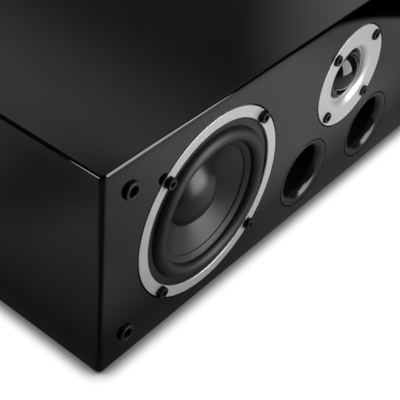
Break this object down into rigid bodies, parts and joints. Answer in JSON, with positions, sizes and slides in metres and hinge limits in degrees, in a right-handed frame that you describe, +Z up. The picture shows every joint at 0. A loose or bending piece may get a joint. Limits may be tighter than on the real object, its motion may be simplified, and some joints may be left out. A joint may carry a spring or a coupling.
{
  "type": "center channel speaker",
  "caption": "Horizontal centre channel loudspeaker in a gloss black box, with ringed woofers, a dome tweeter in a short horn, reflex ports, grille sockets and rear binding posts.",
  "frame": {"origin": "middle of the underside, on the surface that the speaker stands on", "axes": "+X along the front to the viewer's right, the front faces -Y, +Z up"},
  "size_m": [0.542, 0.2688, 0.17],
  "materials": {
    "gloss_lacquer": "high-gloss black lacquer on fibreboard",
    "raw_board": "bare medium-density fibreboard",
    "satin_aluminium": "satin silver",
    "black_rubber": "satin butyl rubber",
    "cone_plastic": "satin dark polypropylene",
    "dome_film": "glossy coated dome",
    "copper": "enamelled copper wire",
    "woven_spider": "resin-dipped weave",
    "wadding": "polyester wadding",
    "plated_steel": "zinc plated",
    "ferrite": "matt ferrite",
    "black_steel": "black",
    "phenolic_board": "matt phenolic",
    "plated_brass": "bright plated",
    "black_plastic": "satin moulded",
    "red_plastic": "moulded",
    "white_nylon": "matt",
    "capacitor_film": "taped film"
  },
  "bodies": {
    "cabinet": {"bottom_panel": "gloss_lacquer", "brace_left": "raw_board", "brace_right": "raw_board", "crossover_board": "phenolic_board", "crossover_standoffs": "white_nylon", "damping_mats": "wadding", "driver_screws": "black_steel", "film_capacitor": "capacitor_film", "front_baffle": "gloss_lacquer", "grille_sockets": "black_plastic", "left_side_panel": "gloss_lacquer", "port_left": "black_plastic", "port_right": "black_plastic", "post_black_stud": "plated_brass", "post_red_stud": "plated_brass", "rear_panel": "gloss_lacquer", "right_side_panel": "gloss_lacquer", "series_resistor": "white_nylon", "terminal_cup": "black_plastic", "terminal_cup_screws": "black_steel", "terminal_nuts": "plated_brass", "top_panel": "gloss_lacquer", "tweeter_choke": "copper", "tweeter_dome": "dome_film", "tweeter_faceplate": "satin_aluminium", "tweeter_gasket": "black_rubber", "tweeter_magnet": "ferrite", "tweeter_top_plate": "plated_steel", "tweeter_voice_coil": "copper", "tweeter_yoke": "plated_steel", "woofer_choke": "copper", "woofer_left_frame": "black_steel", "woofer_left_gasket": "black_rubber", "woofer_left_magnet": "ferrite", "woofer_left_tag_strip": "phenolic_board", "woofer_left_top_plate": "plated_steel", "woofer_left_trim_ring": "satin_aluminium", "woofer_left_yoke": "plated_steel", "woofer_right_frame": "black_steel", "woofer_right_gasket": "black_rubber", "woofer_right_magnet": "ferrite", "woofer_right_tag_strip": "phenolic_board", "woofer_right_top_plate": "plated_steel", "woofer_right_trim_ring": "satin_aluminium", "woofer_right_yoke": "plated_steel"},
    "woofer_left_moving": {"woofer_left_cone": "cone_plastic", "woofer_left_dust_cap": "cone_plastic", "woofer_left_voice_coil": "copper", "woofer_left_surround": "black_rubber", "woofer_left_spider": "woven_spider"},
    "woofer_right_moving": {"woofer_right_cone": "cone_plastic", "woofer_right_dust_cap": "cone_plastic", "woofer_right_voice_coil": "copper", "woofer_right_surround": "black_rubber", "woofer_right_spider": "woven_spider"},
    "post_black_clamp": {"post_black_washer": "plated_brass"},
    "post_black_nut": {"post_black_knob": "black_plastic"},
    "post_red_clamp": {"post_red_washer": "plated_brass"},
    "post_red_nut": {"post_red_knob": "red_plastic"}
  },
  "joints": [
    {"name": "woofer_left_travel", "type": "slide", "parent": "cabinet", "child": "woofer_left_moving", "axis": [0, -1, 0], "range_m": [-0.004, 0.004], "stiffness_N_per_m": 1000, "deforming": ["woofer_left_surround", "woofer_left_spider"]},
    {"name": "woofer_right_travel", "type": "slide", "parent": "cabinet", "child": "woofer_right_moving", "axis": [0, -1, 0], "range_m": [-0.004, 0.004], "stiffness_N_per_m": 1000, "deforming": ["woofer_right_surround", "woofer_right_spider"]},
    {"name": "post_black_travel", "type": "slide", "parent": "cabinet", "child": "post_black_clamp", "axis": [0, 1, 0], "range_m": [0, 0.004]},
    {"name": "post_black_turn", "type": "hinge", "parent": "post_black_clamp", "child": "post_black_nut", "pos_m": [-0.018, 0.122, 0.085], "axis": [0, 1, 0], "range_deg": [0, 1440]},
    {"name": "post_red_travel", "type": "slide", "parent": "cabinet", "child": "post_red_clamp", "axis": [0, 1, 0], "range_m": [0, 0.004]},
    {"name": "post_red_turn", "type": "hinge", "parent": "post_red_clamp", "child": "post_red_nut", "pos_m": [0.018, 0.122, 0.085], "axis": [0, 1, 0], "range_deg": [0, 1440]}
  ],
  "couplings": [
    {"joint": "post_black_turn", "follows": "post_black_travel", "rad_per_m": 6283.2},
    {"joint": "post_red_turn", "follows": "post_red_travel", "rad_per_m": 6283.2}
  ]
}
